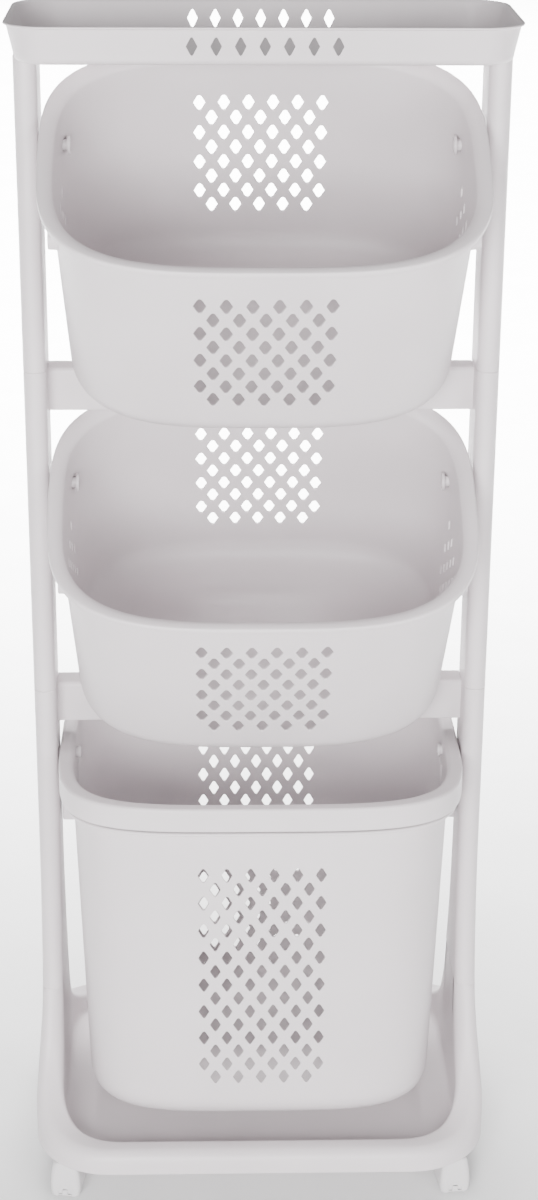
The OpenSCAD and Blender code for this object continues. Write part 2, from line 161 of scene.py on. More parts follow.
def arc(centre, radius, start, end, steps):
    """Points on an arc in a section, angles in degrees."""
    return [(centre[0] + radius * math.cos(math.radians(start + (end - start) * k / steps)),
             centre[1] + radius * math.sin(math.radians(start + (end - start) * k / steps)))
            for k in range(steps + 1)]


def lathe(profile, steps=48):
    """Rings of a turned shape about Z, from (radius, height) points."""
    turns = [2 * math.pi * k / steps for k in range(steps)]
    return [[(r * math.cos(t), r * math.sin(t), h) for t in turns] for r, h in profile]


# ---- outlines seen from above ------------------------------------------------------------

class Oval:
    """A squared oval; its columns are spread evenly along the rim."""

    def __init__(self, a, b, squareness, columns):
        self.n = squareness
        fine = np.linspace(0, 2 * math.pi, 4001)
        p = self._at(fine, a, b)
        run = np.concatenate([[0], np.cumsum(np.linalg.norm(np.diff(p, axis=0), axis=1))])
        self.angles = np.interp(np.linspace(0, run[-1], columns, endpoint=False), run, fine)

    def _at(self, t, a, b):
        c, s = np.cos(t), np.sin(t)
        return np.stack([a * np.sign(c) * np.abs(c) ** (2 / self.n),
                         b * np.sign(s) * np.abs(s) ** (2 / self.n)], -1)

    def ring(self, a, b, z):
        p = self._at(self.angles, a, b)
        return np.column_stack([p, np.full(len(p), z)])

    def edge(self, along, across, p):
        """How far out the outline is at distance p from the middle of a side."""
        return across * max(0.0, 1 - abs(p / along) ** self.n) ** (1 / self.n)


class RoundBox:
    """A rectangle with round corners, whose radius follows the inset from its largest ring."""

    def __init__(self, a, b, radius, straight, corner):
        self.a, self.r = a, radius
        self.straight, self.corner = straight, corner

    def ring(self, a, b, z):
        r = max(1.0, self.r - (self.a - a))
        points = []
        for quarter in range(4):
            sx = 1 if quarter in (0, 3) else -1
            sy = 1 if quarter in (0, 1) else -1
            for k in range(self.corner + 1):
                t = math.pi / 2 * (quarter + k / self.corner)
                points.append((sx * (a - r) + r * math.cos(t), sy * (b - r) + r * math.sin(t), z))
            here = np.array(points[-1])
            turn = (quarter + 1) % 4
            nx = 1 if turn in (0, 3) else -1
            ny = 1 if turn in (0, 1) else -1
            t = math.pi / 2 * turn
            there = np.array([nx * (a - r) + r * math.cos(t), ny * (b - r) + r * math.sin(t), z])
            for k in range(1, self.straight):
                points.append(tuple(here + (there - here) * k / self.straight))
        return np.array(points)

    def edge(self, along, across, p):
        r = max(1.0, self.r - (self.a - (along if along > across else across)))
        past = max(0.0, abs(p) - (along - r))
        return across - r + math.sqrt(max(0.0, r * r - past * past))


# ---- thin-walled shells with vents -------------------------------------------------------

def rounded_diamond(cx, cz, w, h, corner, grow):
    """A diamond with round corners, grown by an offset."""
    hw, hh = w / 2 - corner, h / 2 - corner
    swing = math.atan2(hw, hh)
    tips = [((cx + hw, cz), -swing, swing), ((cx, cz + hh), swing, math.pi - swing),
            ((cx - hw, cz), math.pi - swing, math.pi + swing),
            ((cx, cz - hh), math.pi + swing, 2 * math.pi - swing)]
    r = corner + grow
    steps = 4
    turns = [(tip, a + (b - a) * k / steps) for tip, a, b in tips for k in range(steps + 1)]
    return [(tip[0] + r * math.cos(t), tip[1] + r * math.sin(t)) for tip, t in turns]


def circle(cx, cz, r, grow, steps=32):
    return [(cx + (r + grow) * math.cos(2 * math.pi * k / steps),
             cz + (r + grow) * math.sin(2 * math.pi * k / steps)) for k in range(steps)]


def diamond_block(across, rows, pitch, rise, w, h, top, corner=1.2):
    """Rows of diamonds, alternately full and one fewer; each is a function of its grown offset."""
    holes = []
    for row in range(rows):
        count = across - row % 2
        for i in range(count):
            x = (i - (count - 1) / 2) * pitch
            holes.append(lambda g, x=x, z=top - row * rise: rounded_diamond(x, z, w, h, corner, g))
    return holes


SIDES = {"front": (0, -1), "back": (0, 1), "left": (-1, 0), "right": (1, 0)}


class Shell:
    """An open tub: a wall with draft on a rounded bottom, a rim profile, and vents cut in its sides."""

    def __init__(self, outline, a, b, draft, bottom, top, radius_a, radius_b, skin=SKIN):
        self.outline, self.a, self.b, self.draft = outline, a, b, draft
        self.bottom, self.top, self.ra, self.rb, self.skin = bottom, top, radius_a, radius_b, skin
        self.vents = []

    def wall(self, z):
        """Outer half width and half depth of the straight wall at a height."""
        low = self.bottom + self.rb
        k = (z - low) / (self.top - low)
        return self.a - self.draft * (1 - k), self.b - self.draft * (1 - k)

    def foot(self, depth, steps=10):
        """Stations round the bottom edge, from the flat floor up to the wall."""
        a, b = self.wall(self.bottom + self.rb)
        ra, rb = self.ra - depth, self.rb - depth
        out = []
        for k in range(steps + 1):
            t = math.pi / 2 * k / steps
            out.append((a - depth - ra * (1 - math.sin(t)), b - depth - rb * (1 - math.sin(t)),
                        self.bottom + depth + rb * (1 - math.cos(t))))
        return out

    def on_wall(self, side, p, z, depth):
        """Point on the wall of a side, at distance p from its middle and at a depth into the skin."""
        a, b = self.wall(z)
        a, b = a - depth, b - depth
        sx, sy = SIDES[side]
        if sx:
            return (sx * self.outline.edge(b, a, p), p, z)
        return (p, sy * self.outline.edge(a, b, p), z)

    def vent(self, side, holes, half_width, low, high, pads=None):
        """Cuts holes in a side; pads gives how far out a bored pad round each hole stands."""
        self.vents.append((side, holes, half_width, low, high, pads))

    def make(self, rim, rows=26, floor_rings=(0.97, 0.8, 0.45)):
        """rim: (outwards, height) points from the outer wall's top round to the inner wall's top."""
        shape = Shape()
        levels = list(np.linspace(self.bottom + self.rb, self.top, rows))
        for _, _, _, low, high, _ in self.vents:
            levels += [low, high]
        levels = sorted(set(round(z, 3) for z in levels))
        sheets = {}
        for depth in (0.0, self.skin):
            stations = self.foot(depth)[:-1]
            stations += [tuple(np.array(self.wall(z)) - depth) + (z,) for z in levels]
            grid = [shape.add(self.outline.ring(*s)) for s in stations]
            first = len(stations) - len(levels)
            sheets[depth] = (grid, first)
            self._skin(shape, grid, first, levels, depth)
            a, b, z = stations[0]
            inner = grid[0]
            for share in floor_rings:
                ring = shape.add(self.outline.ring(a * share, b * share, z))
                shape.bridge(ring, inner)
                inner = ring
            shape.faces.append(tuple(inner))
        self._rim(shape, rim, sheets)
        for side, holes, _, _, _, pads in self.vents:
            for hole, face in zip(holes, pads or [None] * len(holes)):
                self._tunnel(shape, side, hole, face)
        return shape

    def _rim(self, shape, rim, sheets):
        outer, inner = sheets[0.0][0][-1], sheets[self.skin][0][-1]
        last = outer
        for out, z in rim:
            ring = shape.add(self.outline.ring(self.a + out, self.b + out, z))
            shape.bridge(last, ring)
            last = ring
        shape.bridge(last, inner)

    def _columns(self, ring_points, side, half_width):
        """Column numbers across a panel, in order, just past its half width on each side."""
        sx, sy = SIDES[side]
        across = ring_points[:, 1] if sx else ring_points[:, 0]
        facing = (ring_points[:, 0] * sx if sx else ring_points[:, 1] * sy) > 0
        inside = [i for i in range(len(across)) if facing[i] and abs(across[i]) <= half_width]
        inside.sort(key=lambda i: across[i])
        n = len(across)
        step = 1 if (inside[1] - inside[0]) % n == 1 else -1
        return [(inside[0] - step) % n] + inside + [(inside[-1] + step) % n]

    def _skin(self, shape, grid, first, levels, depth):
        reference = np.array([shape.points[i] for i in grid[first]])
        n = len(grid[0])
        closed = set()
        for side, holes, half_width, low, high, pads in self.vents:
            j0 = first + levels.index(round(low, 3))
            j1 = first + levels.index(round(high, 3))
            columns = self._columns(reference, side, half_width)
            for j in range(j0, j1):
                for a, b in zip(columns, columns[1:]):
                    closed.add((j, a if (a + 1) % n == b else b))
            start = EDGE + VENT_MARGIN
            if pads:
                start = PAD_REACH if depth == 0 else PAD_INSIDE
            self._panel(shape, grid, side, columns, j0, j1, holes, depth, start)
        for j, (a, b) in enumerate(zip(grid, grid[1:])):
            for i in range(n):
                if (j, i) not in closed:
                    k = (i + 1) % n
                    shape.faces.append((a[i], a[k], b[k], b[i]))

    def _panel(self, shape, grid, side, columns, j0, j1, holes, depth, start):
        sx = SIDES[side][0]
        border = [grid[j0][i] for i in columns]
        border += [grid[j][columns[-1]] for j in range(j0 + 1, j1)]
        border += [grid[j1][i] for i in reversed(columns)]
        border += [grid[j][columns[0]] for j in range(j1 - 1, j0, -1)]
        flat = [(shape.points[i][1 if sx else 0], shape.points[i][2]) for i in border]
        ids = list(border)
        loops = []
        for hole in holes:
            line = hole(start)
            loops.append(line)
            flat += line
            ids += shape.add(self.on_wall(side, p, z, depth) for p, z in line)
        edges = [(k, (k + 1) % len(border)) for k in range(len(border))]
        at = len(border)
        for line in loops:
            edges += [(at + k, at + (k + 1) % len(line)) for k in range(len(line))]
            at += len(line)
        middles = [np.mean(line, axis=0) for line in loops]
        reach = [max(np.linalg.norm(np.array(line) - m, axis=1)) for line, m in zip(loops, middles)]
        for j in range(j0 + 1, j1):
            for i in columns[1:-1]:
                x, y, z = shape.points[grid[j][i]]
                p = np.array([y if sx else x, z])
                if all(np.linalg.norm(p - m) > r + 0.8 for m, r in zip(middles, reach)):
                    flat.append(tuple(p))
                    ids.append(grid[j][i])
        points, _, faces, origin, _, _ = delaunay_2d_cdt([Vector(p) for p in flat], edges, [], 1, 1e-5)
        names = [ids[o[0]] for o in origin]
        rings = [np.array(line) for line in loops]
        for face in faces:
            mid = np.mean([points[k] for k in face], axis=0)
            if not any(np.linalg.norm(mid - m) < r and inside_loop(mid, line)
                       for m, r, line in zip(middles, reach, rings)):
                shape.faces.append(tuple(names[k] for k in face))

    def _tunnel(self, shape, side, hole, face):
        """Joins the two skins through a hole, with rounded edges; a pad stands out round a bore."""
        turn = [math.pi / 2 * k / 3 for k in range(4)]
        if face:
            pad = [(PAD_REACH, 0), (7.4, 0.04), (6.6, 0.3), (6.4, 0.75), (6.1, 0.93), (5.4, 1),
                   (0.6, 1), (0.2, 0.97), (0, 0.9), (0, -0.1)]
            loops = [[self._pushed(side, p, z, face, share) for p, z in hole(g)] for g, share in pad]
            loops += [[self.on_wall(side, p, z, self.skin) for p, z in hole(g)]
                      for g in (0.9, PAD_INSIDE)]
            shape.loft(loops)
            return
        steps = [(EDGE + VENT_MARGIN, 0.0)]
        steps += [(EDGE * (1 - math.sin(t)), EDGE * (1 - math.cos(t))) for t in turn]
        steps += [(g, self.skin - d) for g, d in reversed(steps)]
        shape.loft([[self.on_wall(side, p, z, d) for p, z in hole(g)] for g, d in steps])

    def _pushed(self, side, p, z, face, share):
        """Between the wall, at share 0, and the flat face of a pad, at share 1."""
        point = np.array(self.on_wall(side, p, z, 0.0))
        target = point.copy()
        target[0] = SIDES[side][0] * face
        return tuple(point + (target - point) * share)


def inside_loop(p, line):
    x, y = p
    x0, y0 = line[:, 0], line[:, 1]
    x1, y1 = np.roll(x0, -1), np.roll(y0, -1)
    crosses = ((y0 > y) != (y1 > y)) & (x < (x1 - x0) * (y - y0) / (y1 - y0 + 1e-12) + x0)
    return bool(crosses.sum() % 2)


# ---- materials ---------------------------------------------------------------------------

def moulded_plastic(name, colour, roughness=0.42, grain=0.05, seed=0.0):
    """Satin injection-moulded plastic: fine grain, faint flow clouds, slightly uneven gloss."""
    mat = bpy.data.materials.new(name)
    mat.use_nodes = True
    nodes, links = mat.node_tree.nodes, mat.node_tree.links
    shader = nodes["Principled BSDF"]
    where = nodes.new("ShaderNodeTexCoord")
    shift = nodes.new("ShaderNodeMapping")
    shift.inputs["Location"].default_value = (seed, seed * 0.7, seed * 0.3)
    links.new(where.outputs["Object"], shift.inputs["Vector"])

    def noise(scale, detail):
        n = nodes.new("ShaderNodeTexNoise")
        n.inputs["Scale"].default_value = scale
        n.inputs["Detail"].default_value = detail
        links.new(shift.outputs["Vector"], n.inputs["Vector"])
        return n

    clouds = noise(9.0, 3.0)
    ramp = nodes.new("ShaderNodeValToRGB")
    ramp.color_ramp.elements[0].position = 0.3
    ramp.color_ramp.elements[1].position = 0.7
    ramp.color_ramp.elements[0].color = (*[c * 0.965 for c in colour], 1)
    ramp.color_ramp.elements[1].color = (*[min(1, c * 1.02) for c in colour], 1)
    links.new(clouds.outputs["Fac"], ramp.inputs["Fac"])
    links.new(ramp.outputs["Color"], shader.inputs["Base Color"])
    gloss = noise(60.0, 4.0)
    spread = nodes.new("ShaderNodeMapRange")
    spread.inputs["To Min"].default_value = roughness - 0.06
    spread.inputs["To Max"].default_value = roughness + 0.08
    links.new(gloss.outputs["Fac"], spread.inputs["Value"])
    links.new(spread.outputs["Result"], shader.inputs["Roughness"])
    fine = noise(1400.0, 2.0)
    bump = nodes.new("ShaderNodeBump")
    bump.inputs["Strength"].default_value = grain
    bump.inputs["Distance"].default_value = 0.0004
    links.new(fine.outputs["Fac"], bump.inputs["Height"])
    links.new(bump.outputs["Normal"], shader.inputs["Normal"])
    shader.inputs["Specular IOR Level"].default_value = 0.45
    shader.inputs["IOR"].default_value = 1.49
    return mat


def zinc(name):
    """Zinc-plated steel with fine turning marks."""
    mat = moulded_plastic(name, (0.60, 0.61, 0.63), 0.34, 0.08)
    mat.node_tree.nodes["Principled BSDF"].inputs["Metallic"].default_value = 1.0
    return mat


PALE = (0.685, 0.635, 0.652)
frame_mat = moulded_plastic("pale_plastic", PALE)
basket_mat = moulded_plastic("basket_plastic", PALE, seed=3.1)
peg_mat = moulded_plastic("peg_plastic", (0.67, 0.625, 0.64), 0.38, seed=1.3)
hood_mat = moulded_plastic("caster_plastic", (0.66, 0.64, 0.648), 0.36, seed=2.2)
wheel_mat = moulded_plastic("wheel_plastic", (0.56, 0.54, 0.545), 0.5, 0.2, seed=5.2)
steel_mat = zinc("zinc_steel")


# ---- camera, light and floor -------------------------------------------------------------

def camera():
    """The viewing angle: a little above the tray, looking down and slightly to the right."""
    pitch, yaw, roll = math.radians(22.15), math.radians(-1.65), math.radians(0.37)
    across = Vector((math.cos(yaw), math.sin(yaw), 0))
    ahead = Vector((-math.sin(yaw), math.cos(yaw), 0))
    forward = ahead * math.cos(pitch) - Vector((0, 0, math.sin(pitch)))
    up = ahead * math.sin(pitch) + Vector((0, 0, math.cos(pitch)))
    right = across * math.cos(roll) + up * math.sin(roll)
    upright = up * math.cos(roll) - across * math.sin(roll)
    data = bpy.data.cameras.new("camera")
    data.lens = 70.2
    data.sensor_width = 36
    data.clip_end = 50
    cam = bpy.data.objects.new("camera", data)
    turn = Matrix((right, upright, -forward)).transposed().to_4x4()
    cam.matrix_world = Matrix.Translation((-0.0508, POST_Y * MM - 2.0557, 1.414)) @ turn
    bpy.context.scene.collection.objects.link(cam)
    bpy.context.scene.camera = cam


def area_light(name, place_at, look_at, size, power, spread=180):
    data = bpy.data.lights.new(name, "AREA")
    data.shape = "RECTANGLE"
    data.size, data.size_y = size
    data.energy = power
    data.spread = math.radians(spread)
    light = bpy.data.objects.new(name, data)
    light.location = place_at
    light.rotation_mode = "QUATERNION"
    light.rotation_quaternion = (Vector(look_at) - Vector(place_at)).to_track_quat("-Z", "Y")
    bpy.context.scene.collection.objects.link(light)


def studio():
    shape = Shape()
    reach = 9000
    corners = [(-reach, -reach, 0), (reach, -reach, 0), (reach, reach, 0), (-reach, reach, 0)]
    shape.faces.append(tuple(shape.add(corners)))
    shape.build("floor", moulded_plastic("studio_floor", (0.95, 0.95, 0.95), 0.75, 0.0))
    world = bpy.data.worlds.new("studio")
    world.use_nodes = True
    world.node_tree.nodes["Background"].inputs["Color"].default_value = (1, 1, 1, 1)
    world.node_tree.nodes["Background"].inputs["Strength"].default_value = 0.46
    bpy.context.scene.world = world
    area_light("key", (-0.6, -3.0, 1.2), (0, 0, 0.66), (1.4, 1.1), 168)
    area_light("fill", (1.7, -2.6, 1.0), (0, 0, 0.6), (1.2, 1.0), 42)
    area_light("ground", (0, 5.2, 3.4), (0, 5.2, 0), (12, 8), 4700, 66)


camera()
studio()


# ---- tilting baskets ---------------------------------------------------------------------

# Half width, half depth, and heights from the pivot, which is BASKET_LEAD behind the middle.
BASKET_A, BASKET_B = 193.0, 146.0
BASKET_LEAD = 61.0
FLANGE = 11.5
BASKET_TOP = 40.0
BASKET_BOTTOM = -179.1
BORE_R = 5.1
# Pitch of the vents across and down in the baskets.
VENT_PITCH, VENT_RISE = 22.2, 16.6


def tilting_basket(name, joint, body):
    a, b = BASKET_A - FLANGE, BASKET_B - FLANGE
    outline = Oval(a, b, 3.4, 176)
    shell = Shell(outline, a, b, 8.0, BASKET_BOTTOM, BASKET_TOP - 10, 36.0, 26.0)
    vents = diamond_block(6, 8, VENT_PITCH, VENT_RISE, 10.9, 17, -10, 2.3)
    for side in ("front", "back"):
        shell.vent(side, vents, 66, -142.0, 4.0)
    # The pad round the spare bore, ahead of the middle, spreads about half as far.
    bores = [lambda g: circle(BASKET_LEAD, 0, BORE_R, g),
             lambda g: circle(-BASKET_LEAD, 0, BORE_R, g * 0.55)]
    for side in ("left", "right"):
        shell.vent(side, diamond_block(4, 6, VENT_PITCH, VENT_RISE, 8, 13, -30), 42, -124.0, -18.0)
        shell.vent(side, bores, 84, -17.9, 18.0, (BASKET_A - 4, BASKET_A - 9.5))
    out = FLANGE
    r = 1.8
    rim = [(0.1, BASKET_TOP - 7.6), (0.5, BASKET_TOP - 5.8), (1.4, BASKET_TOP - 4.3),
           (2.8, BASKET_TOP - 3.2), (4.6, BASKET_TOP - 2.7), (out - SKIN - 0.8, BASKET_TOP - 2.7),
           (out - SKIN, BASKET_TOP - 3.3), (out - SKIN, BASKET_TOP - 5.2)]
    rim += arc((out - SKIN / 2, BASKET_TOP - 5.0), SKIN / 2, 180, 360, 6)
    rim += arc((out - r, BASKET_TOP - r), r, 0, 90, 6)
    roll, drop = out - r + SKIN - 0.4, 8.5
    turns = [math.radians(90 + 82 * k / 12) for k in range(13)]
    rim += [(roll - SKIN + roll * math.cos(t), BASKET_TOP - drop + drop * math.sin(t)) for t in turns]
    shape = shell.make(rim)
    matrix = (Matrix.Translation(pivot(joint)) @ Matrix.Rotation(math.radians(TILT), 4, "X")
              @ Matrix.Translation((0, -BASKET_LEAD, 0)))
    obj = shape.build(name, basket_mat, matrix)
    return place(obj, body, "pale_plastic", body)


tilting_basket("upper_basket_shell", "upper_basket_tilt", "upper_basket")
tilting_basket("middle_basket_shell", "middle_basket_tilt", "middle_basket")


# ---- hanging tub -------------------------------------------------------------------------

AT_POSTS = Matrix.Translation((0, POST_Y, 0))


def stadium(half, thick, z, middle_x, points=28):
    """A flat bar section with round ends, long in Y."""
    ring = []
    for k in range(2 * points):
        t = 2 * math.pi * k / (2 * points)
        end = (half - thick) * (1 if math.cos(t) >= 0 else -1)
        ring.append((middle_x + thick * math.sin(t), end + thick * math.cos(t), z))
    return ring


def rounded_block(shape, x0, x1, y0, y1, z0, z1, r):
    """A box with round edges all over."""
    rings = []
    for turn in range(5):
        t = math.pi / 2 * turn / 4
        rings.append((r * (1 - math.sin(t)), z0 + r * (1 - math.cos(t))))
    rings += [(inset, z0 + z1 - z) for inset, z in reversed(rings)]
    box = RoundBox((x1 - x0) / 2, (y1 - y0) / 2, r, 1, 5)
    middle = np.array([(x0 + x1) / 2, (y0 + y1) / 2, 0])
    made = [middle + box.ring((x1 - x0) / 2 - i, (y1 - y0) / 2 - i, z) for i, z in rings]
    shape.loft(made, cap_first=True, cap_last=True)


TUB_DRAFT, TUB_CORNER = 11.0, 30.0
SKIRT = 23.0


def hanging_tub():
    flange = 12.0
    a, b = TUB_HIGH[0] - flange, (TUB_HIGH[1] - TUB_LOW[1]) / 2 - flange
    top, bottom = TUB_HIGH[2], TUB_LOW[2]
    outline = Oval(a, b, 4.2, 184)
    shell = Shell(outline, a, b, TUB_DRAFT, bottom, top - 5.6, TUB_CORNER, TUB_CORNER)
    vents = diamond_block(6, 16, 22, 15, 9.8, 14.6, 356, 1.7)
    for side in ("front", "back"):
        shell.vent(side, vents, 66, 118.0, 370.0)
    skirt = top - SKIRT
    rim = [(0.15, top - 3.1), (0.6, top - 2.75), (1.4, top - 2.6), (flange - SKIN - 0.8, top - 2.6),
           (flange - SKIN, top - 3.4), (flange - SKIN, skirt + 2.0)]
    rim += arc((flange - SKIN / 2, skirt + SKIN / 2), SKIN / 2, 180, 360, 6)
    rim += [(flange, skirt + 3.0), (flange, top - 4.4)]
    rim += arc((flange - 2.8, top - 2.8), 2.8, 0, 90, 7)
    rim += [(flange - 4.0, top), (4.4, top)]
    rim += arc((-SKIN + 5.0, top - 5.0), 5.0, 90, 172, 8)
    shape = shell.make(rim, rows=34)
    ledge = [(-1.2, skirt - 7.5), (4.0, skirt - 7.0)]
    ledge += arc((flange - 3.4, skirt - 4.6), 1.9, -70, 90, 8)
    ledge += [(4.0, skirt - 2.7), (-1.2, skirt - 2.7)]
    shape.closed([outline.ring(a + out - 0.8, b + out - 0.8, z) for out, z in ledge])
    for side in (-1, 1):
        inner, outer = sorted((side * (a - 5), side * (TUB_HIGH[0] - 0.4)))
        rounded_block(shape, inner, outer, -13, 13, 350.5, 408, 2.2)
    obj = shape.build("hanging_tub_shell", frame_mat, AT_POSTS)
    place(obj, "hanging_tub", "pale_plastic", "hanging_tub")


hanging_tub()


# ---- top tray ----------------------------------------------------------------------------

def top_tray():
    lip, taper, corner = 3.0, 5.0, 38.0
    a = TRAY_HIGH[0] - lip
    b = (TRAY_HIGH[1] - TRAY_LOW[1]) / 2 - lip
    bottom, top = TRAY_LOW[2], TRAY_HIGH[2]
    outline = RoundBox(a, b, corner - lip, 24, 14)
    shell = Shell(outline, a, b, taper, bottom, top - 3.5, 7.0, 7.0)
    vents = diamond_block(7, 1, 20.4, 1, 9.2, 15.4, bottom + 16.6, 1.3)
    for side in ("front", "back"):
        shell.vent(side, vents, 78, bottom + 7.0, bottom + 26.5)
    r = 0.95
    rim = [(0.15, top - 2.9), (0.6, top - 2.35), (1.3, top - 2.0)]
    rim += arc((lip - r, top - r), r, -80, 90, 7)
    rim += [(lip - 2.2, top), (0.4, top - 0.15), (-0.7, top - 0.7), (-1.5, top - 1.6)]
    rim += [(-2.0, top - 2.6)]
    shape = shell.make(rim, rows=8)
    for side in (-1, 1):
        levels = [(0.0, bottom + 1), (0.2, bottom + 4), (0.6, bottom + 12.4), (1.0, bottom + 13.3),
                  (1.8, bottom + 14)]
        shape.loft([stadium(28.7 - i, 9.2 - i, z, side * (WALL_X - 2.2)) for i, z in levels],
                   cap_first=True, cap_last=True)
    obj = shape.build("top_tray_shell", frame_mat, AT_POSTS)
    place(obj, "frame", "pale_plastic", "top_tray")


top_tray()


# ---- posts -------------------------------------------------------------------------------

SPREAD_TOP, SPREAD_FOOT, SPREAD_REACH = 330.0, 72.0, 150.0
BASE_TOP = 67.0
JOINT_EDGE = 0.7


def half_depth(z):
    """Half depth of the frame's side at a height: a quarter ellipse spreading into the base."""
    k = min(1.0, max(0.0, (SPREAD_TOP - z) / (SPREAD_TOP - SPREAD_FOOT)))
    return SPREAD_REACH - (SPREAD_REACH - POST_D / 2) * math.sqrt(1 - k * k)


def post_ring(side, z, inset, points=30):
    slope = half_depth(z - 0.5) - half_depth(z + 0.5)
    h, t = half_depth(z) - inset, HALF_T - inset
    end = min(h, max(t, HALF_T * slope))
    ring = []
    for face in (1, -1):
        for k in range(points):
            y = -face * h * math.cos(math.pi * k / points)
            over = max(0.0, (abs(y) - (h - end)) / end)
            ring.append((side * (WALL_X + face * t * math.sqrt(max(0.0, 1 - over * over))), y, z))
    return ring


def post(name, side, low, high):
    levels = [(low, 1.2), (low, JOINT_EDGE), (low + 0.25, 0.25), (low + JOINT_EDGE, 0), (low + 2, 0)]
    z = low + 12
    while z < min(high, SPREAD_TOP) - 6:
        levels.append((z, 0))
        z += 10
    if low < SPREAD_TOP:
        levels += [(SPREAD_TOP, 0), (SPREAD_TOP + 12, 0)]
    levels += [(high - 2, 0), (high - JOINT_EDGE, 0), (high - 0.25, 0.25), (high, JOINT_EDGE)]
    levels += [(high, 1.2)]
    shape = Shape()
    shape.loft([post_ring(side, z, inset) for z, inset in levels], cap_first=True, cap_last=True)
    obj = shape.build(name + "_moulding", frame_mat, AT_POSTS)
    place(obj, "frame", "pale_plastic", name)


for hand, side in (("left", -1), ("right", 1)):
    post(f"lower_post_{hand}", side, JOINT_Z[0], JOINT_Z[1])
    post(f"middle_post_{hand}", side, JOINT_Z[1], JOINT_Z[2])
    post(f"upper_post_{hand}", side, JOINT_Z[2], TRAY_LOW[2])


# ---- crossbars ---------------------------------------------------------------------------

def crossbar(name):
    low, high = span(name)
    hy, hz, r, lip, wall = (high[1] - low[1]) / 2, (high[2] - low[2]) / 2, 4.0, 1.3, 2.6
    section = arc((lip - hy, lip - hz), lip, 270, 180, 4) + arc((r - hy, hz - r), r, 180, 90, 7)
    section += arc((hy - r, hz - r), r, 90, 0, 7) + arc((hy - lip, lip - hz), lip, 0, -180, 8)
    inner = hy - wall - 2
    section += arc((inner, hz - wall - 2), 2, 0, 90, 4) + arc((-inner, hz - wall - 2), 2, 90, 180, 4)
    section += arc((lip - hy, lip - hz), lip, 0, -90, 4)[:-1]
    middle = Matrix.Translation((0, (low[1] + high[1]) / 2, (low[2] + high[2]) / 2))
    shape = Shape()
    shape.loft([[(x, y, z) for y, z in section] for x in np.linspace(-POST_FACE, POST_FACE, 9)],
               cap_first=True, cap_last=True)
    rib_y, rib_top = hy - wall + 0.4, hz - wall + 0.4
    for x in range(-130, 131, 65):
        rounded_block(shape, x - 1.0, x + 1.0, -rib_y, rib_y, 2 - hz, rib_top, 0.5)
    obj = shape.build(name + "_moulding", frame_mat, middle)
    place(obj, "frame", "pale_plastic", name)


crossbar("lower_crossbar")
crossbar("upper_crossbar")


# ---- pivot pegs --------------------------------------------------------------------------

def peg(name, side, head, ring):
    """A push-in peg: a low dome in a grooved ring, on a shank that ends inside the post."""
    low, high = span(name)
    middle, length = (low + high) / 2, high[0] - low[0]
    groove = (head + ring) / 2
    profile = [(0.0, 0.0), (head * 0.68, 0.0), (head * 0.88, 0.25), (head * 0.98, 0.8), (head, 1.5)]
    profile += [(head, 2.4), (groove, 2.4), (groove + 0.1, 1.4), (groove + 0.3, 0.8)]
    profile += [(groove + 0.6, 0.4)]
    profile += [(ring - 0.3, 0.5), (ring, 1.2), (ring, 2.8), (ring - 0.2, 3.0), (5.0, 3.0)]
    profile += [(5.0, 4.0), (5.0, length - 1.5), (4.6, length - 0.5), (3.8, length), (0.0, length)]
    shape = Shape()
    shape.loft(lathe(profile, 56))
    tip = high[0] if side < 0 else low[0]
    turn = Matrix.Rotation(math.radians(90 * side), 4, "Y")
    at_post = Matrix.Translation((tip, middle[1], middle[2])) @ turn
    obj = shape.build(name + "_turned", peg_mat, at_post)
    place(obj, "frame", "peg_plastic", name)


for hand, side in (("left", -1), ("right", 1)):
    for level in ("upper", "middle"):
        peg(f"{level}_pivot_peg_{hand}", side, 4.8, 8.5)
    peg(f"tub_pivot_peg_{hand}", side, 3.4, 6.4)


# ---- base --------------------------------------------------------------------------------

OUTER_R, PAN_R = 75.0, 60.0
RIM_SIDE, RIM_FRONT = BASE_HIGH[0] - POST_FACE, 24.0
BASE_A, BASE_B, BASE_BOTTOM = BASE_HIGH[0], (BASE_HIGH[1] - BASE_LOW[1]) / 2, BASE_LOW[2]
PAN_Z, PAN_SKIN, RIM_SKIN = 52.0, 3.0, 2.8
# The sides have narrowed to the posts' thickness this far above the rim. Their crest is held
# under CREST_LIMIT, above the joint where trim_fins cuts them level.
THIN_RISE = 115.6
CREST_LIMIT = 215.0
CASTER_X, CASTER_Y = 189, 121


def smoothstep(x):
    x = np.clip(x, 0.0, 1.0)
    return x * x * (3 - 2 * x)


